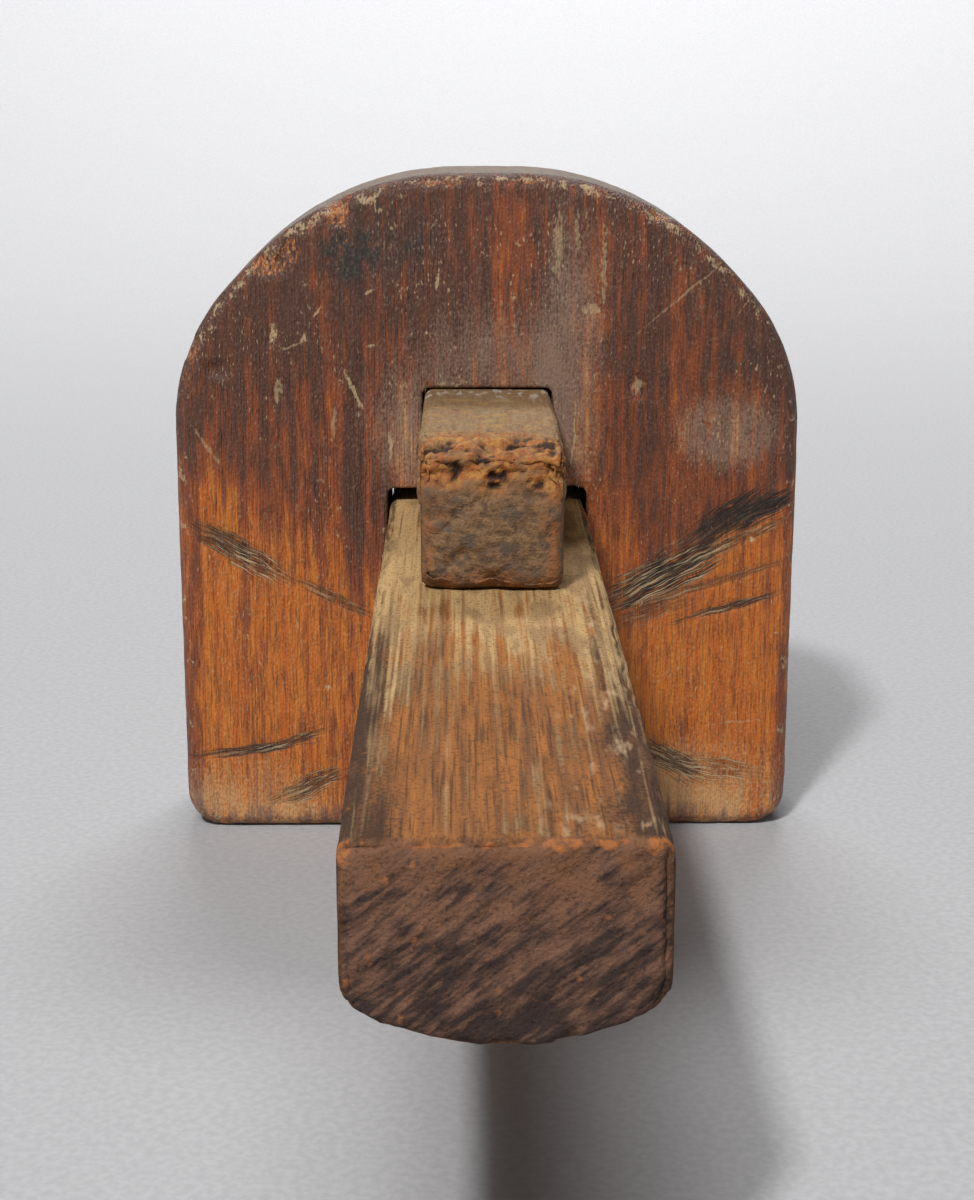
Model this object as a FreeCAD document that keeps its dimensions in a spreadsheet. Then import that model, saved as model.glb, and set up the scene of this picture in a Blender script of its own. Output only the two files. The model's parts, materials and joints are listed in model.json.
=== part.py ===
import FreeCAD, Part
import Sketcher
import math
import os

# A wooden marking gauge. An arched fence stands on its flat base, a beam slides through a mortise
# in the fence, and a long wooden wedge over the beam locks it. A steel knife crosses the beam near
# its rear end and is held by a small wooden wedge of its own.
#
# Frame, in millimetres: +X across the fence, +Y along the beam towards the knife, +Z up. The origin
# is the middle of the fence's base.

DIMENSIONS = [
    ("fence_width", 80.0, "across the fence's parallel sides"),
    ("fence_height", 86.0, "from the base to the crown"),
    ("fence_thickness", 20.0, "along the beam"),
    ("crown_width", 39.6, "between the corners that the crown's arcs round off"),
    ("shoulder_height", 64.2, "of the corners that the shoulders' arcs round off"),
    ("crown_radius", 37.4, "of the arcs beside the crown"),
    ("shoulder_radius", 26.6, "of the arcs that run into the sides"),
    ("foot_radius", 5.0, "of the two lower corners"),
    ("fence_arris_radius", 2.0, "of the rounding round both faces"),
    ("beam_width", 25.3, "across the beam"),
    ("beam_depth", 17.0, "from the belly's lowest line to the flat top"),
    ("beam_belly_height", 27.6, "of the belly's lowest line above the fence's base"),
    ("beam_front_reach", 122.0, "from the fence's front face to the beam's front end"),
    ("beam_rear_reach", 100.0, "from the fence's rear face to the beam's rear end"),
    ("belly_radius", 23.5, "of the arc under the beam"),
    ("belly_corner_radius", 1.8, "where the belly meets the beam's sides"),
    ("beam_arris_radius", 1.2, "of the beam's two upper edges"),
    ("beam_end_chamfer", 0.5, "round both ends of the beam"),
    ("beam_fit", 0.08, "between the beam and its mortise"),
    ("mortise_headroom", 1.6, "between the beam's top and the mortise's shoulders"),
    ("wedge_width", 16.0, "across the locking wedge"),
    ("wedge_thickness", 14.35, "of the locking wedge where it enters the fence"),
    ("wedge_slope", 0.035, "fall of the wedge's top for each millimetre towards its tip"),
    ("wedge_front_reach", 48.0, "from the fence's front face to the wedge's butt"),
    ("wedge_rear_reach", 6.0, "from the fence's rear face to the wedge's tip"),
    ("wedge_butt_bevel", 4.5, "length of the hammered bevel over the butt"),
    ("wedge_butt_drop", 1.6, "height of that bevel"),
    ("wedge_arris_radius", 0.8, "of the wedge's long edges"),
    ("wedge_side_gap", 0.15, "between the wedge and each cheek of its slot"),
    ("wedge_fit", 0.05, "over and under the wedge"),
    ("knife_width", 9.0, "across the knife"),
    ("knife_thickness", 2.4, "along the beam"),
    ("knife_end_distance", 14.0, "from the knife's flat face to the beam's rear end"),
    ("knife_drop", 4.0, "of the cutting edge below the beam's belly"),
    ("knife_rise", 6.0, "of the knife's head above the beam's top"),
    ("knife_bevel", 5.0, "length of the ground bevel"),
    ("knife_fit", 0.05, "between the knife, its wedge and their mortise"),
    ("pin_thickness", 2.0, "of the knife's wedge at the beam's belly"),
    ("pin_slope", 0.07, "growth of that wedge for each millimetre upwards"),
    ("pin_foot_lift", 2.0, "of that wedge's thin end above the belly"),
    ("pin_rise", 4.5, "of that wedge's head above the beam's top"),
    ("spare_cut", 2.0, "how far a cutting profile runs past the solid that it cuts"),
]

X_AXIS = -1
Y_AXIS = -2
START = 1
END = 2
CENTRE = 3
SAME_PLACE = 1e-4

doc = FreeCAD.newDocument("MarkingGauge")


# ---------------------------------------------------------------- dimensions

def fill_sheet():
    sheet = doc.addObject("Spreadsheet::Sheet", "Dimensions")
    for row, (alias, value, meaning) in enumerate(DIMENSIONS, start=1):
        sheet.set(f"A{row}", alias.replace("_", " "))
        sheet.set(f"B{row}", str(value))
        sheet.setAlias(f"B{row}", alias)
        sheet.set(f"C{row}", meaning)
    doc.recompute()
    return sheet


sheet = fill_sheet()


def size(alias):
    return float(sheet.get(alias))


def bound(formula):
    """The formula with every alias written as a cell of the sheet."""
    words = []
    for word in formula.split():
        is_alias = any(word == alias for alias, _, _ in DIMENSIONS)
        words.append(f"Dimensions.{word}" if is_alias else word)
    return " ".join(words)


# ---------------------------------------------------------------- shared steps

def new_body(name):
    body = doc.addObject("PartDesign::Body", name)
    body.Label = name
    return body


def place(body, along="0", up="0"):
    body.setExpression("Placement.Base.y", bound(along))
    body.setExpression("Placement.Base.z", bound(up))


def new_sketch(body, name, plane_role):
    sketch = body.newObject("Sketcher::SketchObject", name)
    plane = next(item for item in body.Origin.OriginFeatures if item.Role == plane_role)
    sketch.AttachmentSupport = [(plane, "")]
    sketch.MapMode = "FlatFace"
    return sketch


def bind(sketch, constraint, formula):
    index = sketch.addConstraint(constraint)
    sketch.setExpression(f"Constraints[{index}]", bound(formula))


def bind_point(sketch, line, end, across, up):
    """Hold one end of a line at a place given by two formulas."""
    for kind, axis, formula in (("DistanceX", Y_AXIS, across), ("DistanceY", X_AXIS, up)):
        if formula == "0":
            sketch.addConstraint(Sketcher.Constraint("PointOnObject", line, end, axis))
        else:
            bind(sketch, Sketcher.Constraint(kind, X_AXIS, START, line, end, 1.0), formula)


def draw_polygon(sketch, corners):
    """A closed outline of straight lines. Each corner is a pair of formulas, anticlockwise."""
    count = len(corners)
    turn = 2 * math.pi / count
    ring = [FreeCAD.Vector(math.cos(turn * step), math.sin(turn * step), 0) for step in range(count)]
    for step in range(count):
        sketch.addGeometry(Part.LineSegment(ring[step], ring[(step + 1) % count]))
    for step in range(count):
        sketch.addConstraint(Sketcher.Constraint("Coincident", step, END, (step + 1) % count, START))
    for step, (across, up) in enumerate(corners):
        bind_point(sketch, step, START, across, up)


def draw_beam_section(sketch, half_width, top, spring, radius):
    """Straight top and sides, closed below by an arc that bows downwards from the spring."""
    right_foot = FreeCAD.Vector(12, 3, 0)
    right_top = FreeCAD.Vector(12, 16, 0)
    left_top = FreeCAD.Vector(-12, 16, 0)
    left_foot = FreeCAD.Vector(-12, 3, 0)
    right_side = sketch.addGeometry(Part.LineSegment(right_foot, right_top))
    roof = sketch.addGeometry(Part.LineSegment(right_top, left_top))
    left_side = sketch.addGeometry(Part.LineSegment(left_top, left_foot))
    belly = sketch.addGeometry(Part.Arc(left_foot, FreeCAD.Vector(0, 0, 0), right_foot))
    loop = (right_side, roof, left_side, belly)
    for step, piece in enumerate(loop):
        following = loop[(step + 1) % len(loop)]
        sketch.addConstraint(Sketcher.Constraint("Coincident", piece, END, following, START))
    sketch.addConstraint(Sketcher.Constraint("Vertical", right_side))
    sketch.addConstraint(Sketcher.Constraint("Vertical", left_side))
    sketch.addConstraint(Sketcher.Constraint("Symmetric", roof, START, roof, END, Y_AXIS))
    sketch.addConstraint(Sketcher.Constraint("PointOnObject", belly, CENTRE, Y_AXIS))
    bind_point(sketch, right_side, END, half_width, top)
    bind(sketch, Sketcher.Constraint("DistanceY", X_AXIS, START, right_side, START, 3.0), spring)
    bind(sketch, Sketcher.Constraint("Radius", belly, 23.5), radius)


def extrude(body, kind, name, sketch, length=None):
    """A Pad or Pocket, centred on its sketch: as long as the formula says, or right through."""
    feature = body.newObject(f"PartDesign::{kind}", name)
    feature.Profile = sketch
    feature.SideType = "Symmetric"
    if length is None:
        feature.Type = "ThroughAll"
    else:
        feature.setExpression("Length", bound(length))
    sketch.Visibility = False
    doc.recompute()
    return feature


def cut(body, name, sketch, length=None):
    """A Pocket that is known to remove material."""
    before = body.Shape.Volume
    feature = extrude(body, "Pocket", name, sketch, length)
    if feature.Shape.Volume > before - 1:
        raise ValueError(f"{name} removes nothing")
    return feature


def dress(body, kind, name, edges, amount_property, formula):
    """A Fillet or Chamfer on the named edges of the body's last feature."""
    if not edges:
        raise ValueError(f"{name} has no edges")
    base = body.Tip
    feature = body.newObject(f"PartDesign::{kind}", name)
    feature.Base = (base, edges)
    feature.setExpression(amount_property, bound(formula))
    doc.recompute()
    return feature


# ---------------------------------------------------------------- picking edges

def edge_names(shape, test):
    return [f"Edge{number}" for number, edge in enumerate(shape.Edges, start=1) if test(edge)]


def edges_along_y(shape, across, up):
    """The edges along Y that lie at this distance either side of the middle, at this height."""
    def test(edge):
        box = edge.BoundBox
        is_along_y = box.XLength < SAME_PLACE and box.ZLength < SAME_PLACE
        is_across = abs(abs(box.XMin) - across) < SAME_PLACE
        return is_along_y and is_across and abs(box.ZMin - up) < SAME_PLACE
    return edge_names(shape, test)


def edges_in_plane_y(shape, *places):
    """The edges that lie wholly in one of the planes at these places along Y."""
    def test(edge):
        box = edge.BoundBox
        is_flat = box.YLength < SAME_PLACE
        return is_flat and any(abs(box.YMin - place) < SAME_PLACE for place in places)
    return edge_names(shape, test)


# ---------------------------------------------------------------- fence

BEAM_TOP = "( beam_belly_height + beam_depth )"
CROWN_HALF = "( crown_width / 2 )"
FLANK_RUN = "( fence_width / 2 - crown_width / 2 )"
FLANK_DROP = "( fence_height - shoulder_height )"
FLANK_LENGTH = f"sqrt( {FLANK_RUN} ^ 2 + {FLANK_DROP} ^ 2 )"
CROWN_SHARE = 0.55
SHOULDER_SHARE = 0.44


def arch_radius(wanted, opposite, adjacent, room):
    """The wanted radius, or the largest whose arc still fits the room beside its corner."""
    half_turn_tangent = f"( ( {FLANK_LENGTH} - {adjacent} ) / {opposite} )"
    return f"min( {wanted} ; {room} / {half_turn_tangent} )"


def fence_outline(body):
    sketch = new_sketch(body, "fence_outline", "XZ_Plane")
    draw_polygon(sketch, [
        ("fence_width / 2", "0"),
        ("fence_width / 2", "shoulder_height"),
        ("crown_width / 2", "fence_height"),
        ("- crown_width / 2", "fence_height"),
        ("- fence_width / 2", "shoulder_height"),
        ("- fence_width / 2", "0"),
    ])
    extrude(body, "Pad", "fence_board", sketch, "fence_thickness")


def round_fence_outline(body):
    crown_room = f"min( 0.99 * {CROWN_HALF} ; {CROWN_SHARE} * {FLANK_LENGTH} )"
    crown = edges_along_y(body.Shape, size("crown_width") / 2, size("fence_height"))
    dress(body, "Fillet", "crown_arcs", crown, "Radius",
          arch_radius("crown_radius", FLANK_DROP, FLANK_RUN, crown_room))
    shoulders = edges_along_y(body.Shape, size("fence_width") / 2, size("shoulder_height"))
    dress(body, "Fillet", "shoulder_arcs", shoulders, "Radius",
          arch_radius("shoulder_radius", FLANK_RUN, FLANK_DROP,
                      f"{SHOULDER_SHARE} * {FLANK_LENGTH}"))
    feet = edges_along_y(body.Shape, size("fence_width") / 2, 0)
    dress(body, "Fillet", "foot_arcs", feet, "Radius", "foot_radius")
    half = size("fence_thickness") / 2
    rims = edges_in_plane_y(body.Shape, -half, half)
    dress(body, "Fillet", "fence_arris", rims, "Radius", "fence_arris_radius")


def beam_mortise(body):
    """The hole that the beam slides in: its section, a fit larger, with headroom at the top."""
    half_width = "( beam_width / 2 + beam_fit )"
    radius = "( belly_radius + beam_fit )"
    floor = "( beam_belly_height - beam_fit )"
    sketch = new_sketch(body, "beam_mortise_section", "XZ_Plane")
    draw_beam_section(sketch, half_width, f"{BEAM_TOP} + mortise_headroom",
                      f"{floor} + {radius} - sqrt( {radius} ^ 2 - {half_width} ^ 2 )", radius)
    cut(body, "beam_mortise", sketch)
    half = size("beam_width") / 2 + size("beam_fit")
    outer = size("belly_radius") + size("beam_fit")
    spring = size("beam_belly_height") - size("beam_fit") + outer - math.sqrt(outer ** 2 - half ** 2)
    corners = edges_along_y(body.Shape, half, spring)
    dress(body, "Fillet", "beam_mortise_corners", corners, "Radius",
          "belly_corner_radius + beam_fit")


def wedge_slot(body):
    """The slot over the beam, with a roof that slopes as the wedge's top does."""
    face = "fence_thickness / 2"
    roof = f"{BEAM_TOP} + 2 * wedge_fit + wedge_thickness"
    sketch = new_sketch(body, "wedge_slot_profile", "YZ_Plane")
    draw_polygon(sketch, [
        (f"- {face} - spare_cut", BEAM_TOP),
        (f"{face} + spare_cut", BEAM_TOP),
        (f"{face} + spare_cut", f"{roof} - wedge_slope * ( fence_thickness + spare_cut )"),
        (f"- {face} - spare_cut", f"{roof} + wedge_slope * spare_cut"),
    ])
    cut(body, "wedge_slot", sketch, "wedge_width + 2 * wedge_side_gap")


def make_fence():
    body = new_body("fence")
    fence_outline(body)
    round_fence_outline(body)
    beam_mortise(body)
    wedge_slot(body)
    return body


# ---------------------------------------------------------------- beam

BEAM_LENGTH = "( beam_front_reach + fence_thickness + beam_rear_reach )"
KNIFE_SEAT = f"( {BEAM_LENGTH} - knife_end_distance )"
PIN_SEAT = f"( {KNIFE_SEAT} + knife_thickness + knife_fit )"


def beam_bar(body):
    half_width = "( beam_width / 2 )"
    sketch = new_sketch(body, "beam_section", "XZ_Plane")
    draw_beam_section(sketch, half_width, "beam_depth",
                      f"belly_radius - sqrt( belly_radius ^ 2 - {half_width} ^ 2 )", "belly_radius")
    extrude(body, "Pad", "beam_bar", sketch, BEAM_LENGTH)


def round_beam(body):
    half = size("beam_width") / 2
    spring = size("belly_radius") - math.sqrt(size("belly_radius") ** 2 - half ** 2)
    lower = edges_along_y(body.Shape, half, spring)
    dress(body, "Fillet", "belly_corners", lower, "Radius", "belly_corner_radius")
    upper = edges_along_y(body.Shape, half, size("beam_depth"))
    dress(body, "Fillet", "beam_arris", upper, "Radius", "beam_arris_radius")
    box = body.Shape.BoundBox
    rims = edges_in_plane_y(body.Shape, box.YMin, box.YMax)
    dress(body, "Chamfer", "beam_ends", rims, "Size", "beam_end_chamfer")


def knife_mortise(body):
    """A hole down through the beam whose rear wall leans as the knife's wedge does."""
    middle = f"( {BEAM_LENGTH} / 2 )"
    front = f"{KNIFE_SEAT} - knife_fit - {middle}"
    rear = f"{PIN_SEAT} + pin_thickness + knife_fit - {middle}"
    sketch = new_sketch(body, "knife_mortise_profile", "YZ_Plane")
    draw_polygon(sketch, [
        (front, "- spare_cut"),
        (f"{rear} - pin_slope * spare_cut", "- spare_cut"),
        (f"{rear} + pin_slope * ( beam_depth + spare_cut )", "beam_depth + spare_cut"),
        (front, "beam_depth + spare_cut"),
    ])
    cut(body, "knife_mortise", sketch, "knife_width + 2 * knife_fit")


def make_beam():
    body = new_body("beam")
    beam_bar(body)
    round_beam(body)
    knife_mortise(body)
    place(body, along="( beam_rear_reach - beam_front_reach ) / 2", up="beam_belly_height")
    return body


# ---------------------------------------------------------------- locking wedge

def make_locking_wedge():
    """Flat under, sloping over, with a hammered bevel above its butt."""
    body = new_body("locking_wedge")
    front_top = "( wedge_thickness + wedge_slope * wedge_front_reach )"
    tip = "( wedge_front_reach + fence_thickness + wedge_rear_reach )"
    sketch = new_sketch(body, "wedge_profile", "YZ_Plane")
    draw_polygon(sketch, [
        ("0", "0"),
        (tip, "0"),
        (tip, f"{front_top} - wedge_slope * {tip}"),
        ("wedge_butt_bevel", f"{front_top} - wedge_slope * wedge_butt_bevel"),
        ("0", f"{front_top} - wedge_butt_drop"),
    ])
    extrude(body, "Pad", "wedge_board", sketch, "wedge_width")
    half = size("wedge_width") / 2
    long_edges = edge_names(body.Shape, lambda edge: is_long_wedge_edge(edge, half))
    dress(body, "Fillet", "wedge_arris", long_edges, "Radius", "wedge_arris_radius")
    place(body, along="- fence_thickness / 2 - wedge_front_reach", up=f"{BEAM_TOP} + wedge_fit")
    return body


def is_long_wedge_edge(edge, half_width):
    box = edge.BoundBox
    is_on_side = box.XLength < SAME_PLACE and abs(abs(box.XMin) - half_width) < SAME_PLACE
    return is_on_side and box.YLength > SAME_PLACE


# ---------------------------------------------------------------- knife and its wedge

def make_marking_knife():
    """A flat steel blade, ground on the side away from the fence."""
    body = new_body("marking_knife")
    length = "( knife_drop + beam_depth + knife_rise )"
    sketch = new_sketch(body, "knife_profile", "YZ_Plane")
    draw_polygon(sketch, [
        ("0", "0"),
        ("knife_thickness / 8", "0"),
        ("knife_thickness", "knife_bevel"),
        ("knife_thickness", length),
        ("0", length),
    ])
    extrude(body, "Pad", "knife_blade", sketch, "knife_width")
    place(body, along=f"{KNIFE_SEAT} - fence_thickness / 2 - beam_front_reach",
          up="beam_belly_height - knife_drop")
    return body


def make_knife_wedge():
    """A thin wooden wedge behind the knife, thicker towards its head."""
    body = new_body("knife_wedge")
    head = "( beam_depth + pin_rise - pin_foot_lift )"
    sketch = new_sketch(body, "knife_wedge_profile", "YZ_Plane")
    draw_polygon(sketch, [
        ("0", "0"),
        ("pin_thickness + pin_slope * pin_foot_lift", "0"),
        (f"pin_thickness + pin_slope * ( pin_foot_lift + {head} )", head),
        ("0", head),
    ])
    extrude(body, "Pad", "knife_wedge_board", sketch, "knife_width")
    place(body, along=f"{PIN_SEAT} - fence_thickness / 2 - beam_front_reach",
          up="beam_belly_height + pin_foot_lift")
    return body


# ---------------------------------------------------------------- checks and export

def check_document():
    for item in doc.Objects:
        if "Invalid" in item.State or "Error" in item.State:
            raise RuntimeError(f"{item.Name} failed: {item.State}")


def check_body(body):
    shape = body.Shape
    if shape.isNull() or not shape.isValid() or len(shape.Solids) != 1:
        raise RuntimeError(f"{body.Label} is not one valid solid")


def export(bodies):
    os.makedirs("parts", exist_ok=True)
    for body in bodies:
        body.Shape.exportStep(f"parts/{body.Label}.step")


bodies = [
    make_fence(),
    make_beam(),
    make_locking_wedge(),
    make_marking_knife(),
    make_knife_wedge(),
]
doc.recompute()
check_document()
for body in bodies:
    check_body(body)
export(bodies)
for body in bodies:
    box = body.Shape.BoundBox
    print(f"{body.Label}: {box.XLength:.1f} x {box.YLength:.1f} x {box.ZLength:.1f} mm, "
          f"y {box.YMin:.1f} to {box.YMax:.1f}, z {box.ZMin:.1f} to {box.ZMax:.1f}, "
          f"{body.Shape.Volume / 1000:.1f} cm3")
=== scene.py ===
import functools
import itertools
import json
import math

import bmesh
import bpy
import numpy as np
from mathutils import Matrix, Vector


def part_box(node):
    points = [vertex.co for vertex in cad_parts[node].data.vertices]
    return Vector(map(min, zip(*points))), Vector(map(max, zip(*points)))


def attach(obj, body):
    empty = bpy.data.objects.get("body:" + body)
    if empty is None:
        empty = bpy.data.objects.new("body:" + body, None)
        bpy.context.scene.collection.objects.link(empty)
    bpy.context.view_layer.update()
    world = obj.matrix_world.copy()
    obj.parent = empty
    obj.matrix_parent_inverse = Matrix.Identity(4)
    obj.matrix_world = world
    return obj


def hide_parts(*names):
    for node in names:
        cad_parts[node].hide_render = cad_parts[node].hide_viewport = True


# A marking gauge of old, hand-worn hardwood: an arched fence, a beam through it, the wedge that
# locks the beam, and the knife with its own small wedge. Lengths are in millimetres wherever a
# name or a comment says nothing else; Blender's own units are metres.
#
# +X runs across the fence, +Y along the beam away from the camera, +Z up.

MM = 0.001

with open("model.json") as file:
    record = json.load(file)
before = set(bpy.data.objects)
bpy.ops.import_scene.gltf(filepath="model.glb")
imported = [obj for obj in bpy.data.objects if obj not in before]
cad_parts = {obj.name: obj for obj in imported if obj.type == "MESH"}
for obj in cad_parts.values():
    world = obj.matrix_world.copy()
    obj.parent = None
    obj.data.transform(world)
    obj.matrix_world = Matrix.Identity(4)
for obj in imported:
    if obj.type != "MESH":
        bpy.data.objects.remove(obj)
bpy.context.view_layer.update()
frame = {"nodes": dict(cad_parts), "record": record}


def node_box(name):
    """Lowest and highest corner of a CAD node, in millimetres."""
    low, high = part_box(name)
    return np.array(low) / MM, np.array(high) / MM


FENCE_LOW, FENCE_HIGH = node_box("fence")
BEAM_LOW, BEAM_HIGH = node_box("beam")
WEDGE_LOW, WEDGE_HIGH = node_box("locking_wedge")
KNIFE_LOW, KNIFE_HIGH = node_box("marking_knife")
FRONT_FACE = FENCE_LOW[1]
REAR_FACE = FENCE_HIGH[1]
BEAM_TOP = BEAM_HIGH[2]
BEAM_END = BEAM_LOW[1]
WEDGE_BUTT = WEDGE_LOW[1]


# ---------------------------------------------------------------- smooth random values

NOISE_CELLS = 32
OCTAVE_TOTAL = 1.5


def noise(points, cell, seed):
    """Smooth values from -1 to 1 that change over one cell, a length or a length for each axis."""
    table = np.random.default_rng(seed).uniform(-1, 1, (NOISE_CELLS,) * 3)
    place = points / np.broadcast_to(cell, 3)
    low = np.floor(place).astype(int)
    part = place - low
    part = part * part * (3 - 2 * part)
    total = np.zeros(len(points))
    for corner in itertools.product((0, 1), repeat=3):
        index = (low + corner) % NOISE_CELLS
        weight = np.prod(np.where(np.array(corner) == 1, part, 1 - part), axis=1)
        total += weight * table[index[:, 0], index[:, 1], index[:, 2]]
    return total


def rough_noise(points, cell, seed, octaves=3):
    """Noise with finer noise over it, each octave half the size and half the strength."""
    cell = np.broadcast_to(cell, 3).astype(float)
    layers = [noise(points, cell / 2 ** k, seed + k) / 2 ** k for k in range(octaves)]
    return sum(layers) / OCTAVE_TOTAL


def ramp(values, low, high):
    """0 at low, 1 at high, smooth between; low may be the larger."""
    share = np.clip((values - low) / (high - low), 0, 1)
    return share * share * (3 - 2 * share)


def spot(points, at, radii, softness=0.5):
    """1 inside an ellipse in the X, Z plane and 0 outside it."""
    across = (points[:, 0] - at[0]) / radii[0]
    up = (points[:, 2] - at[1]) / radii[1]
    return ramp(np.hypot(across, up), 1 + softness, 1 - softness)


# ---------------------------------------------------------------- worn solids

def evaluated_mesh(piece):
    """A new mesh of the piece with its modifiers applied."""
    bpy.context.view_layer.update()
    graph = bpy.context.evaluated_depsgraph_get()
    return bpy.data.meshes.new_from_object(piece.evaluated_get(graph))


def vertex_array(mesh, attribute="vertices", field="co"):
    """One row of three numbers for each vertex: its place in metres, or its normal."""
    values = np.zeros(len(mesh.vertices) * 3, np.float32)
    getattr(mesh, attribute).foreach_get(field, values)
    return values.reshape(-1, 3).astype(float)


def even_copy(node, voxel):
    """A closed mesh of a CAD node with vertices about one voxel apart."""
    mesh = frame["nodes"][node].data.copy()
    weld = bmesh.new()
    weld.from_mesh(mesh)
    bmesh.ops.remove_doubles(weld, verts=weld.verts, dist=1e-6)
    weld.to_mesh(mesh)
    weld.free()
    piece = bpy.data.objects.new(f"worn_{node}", mesh)
    bpy.context.scene.collection.objects.link(piece)
    remesh = piece.modifiers.new("even", "REMESH")
    remesh.mode = "VOXEL"
    remesh.voxel_size = voxel * MM
    remesh.use_smooth_shade = True
    even = evaluated_mesh(piece)
    piece.modifiers.clear()
    piece.data = even
    return piece


def edge_strength(piece, reach, voxel):
    """About 1 on the sharpest outer edges, 0 on flat faces, below 0 in hollows."""
    smooth = piece.modifiers.new("smooth", "SMOOTH")
    smooth.factor = 0.5
    smooth.iterations = max(2, int(4 * (reach / voxel) ** 2))
    soft = evaluated_mesh(piece)
    piece.modifiers.clear()
    gap = vertex_array(piece.data) - vertex_array(soft)
    normals = vertex_array(piece.data, "vertex_normals", "vector")
    return np.sum(gap * normals, axis=1) / (0.35 * reach * MM)


def paint(piece, name, values):
    """Keep a value from 0 to 1 on every vertex, for the material to read by name."""
    layer = piece.data.attributes.new(name, "FLOAT", "POINT")
    layer.data.foreach_set("value", np.clip(values, 0, 1).astype(np.float32))


def wear(piece, node, depth):
    """Press every vertex inwards by its depth, and keep it inside the CAD node's box."""
    low, high = (np.array(corner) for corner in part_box(node))
    normals = vertex_array(piece.data, "vertex_normals", "vector")
    places = vertex_array(piece.data) - normals * depth[:, None] * MM
    places = np.clip(places, low, high)
    piece.data.vertices.foreach_set("co", places.astype(np.float32).ravel())
    piece.data.update()


def hand_over(piece, node, material):
    """The piece takes the CAD node's place, moves with its body and gets its material."""
    piece.data.materials.clear()
    piece.data.materials.append(material)
    body = next(name for name, nodes in frame["record"]["behaviour"]["bodies"].items()
                if node in nodes)
    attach(piece, body)
    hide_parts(node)


# ---------------------------------------------------------------- shader nodes

# Blender's Mix node has sockets of the same name for every kind of data, so colours go by number.
MIX_FIRST_COLOUR = 6
MIX_SECOND_COLOUR = 7
MIX_COLOUR_OUT = 2


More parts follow.
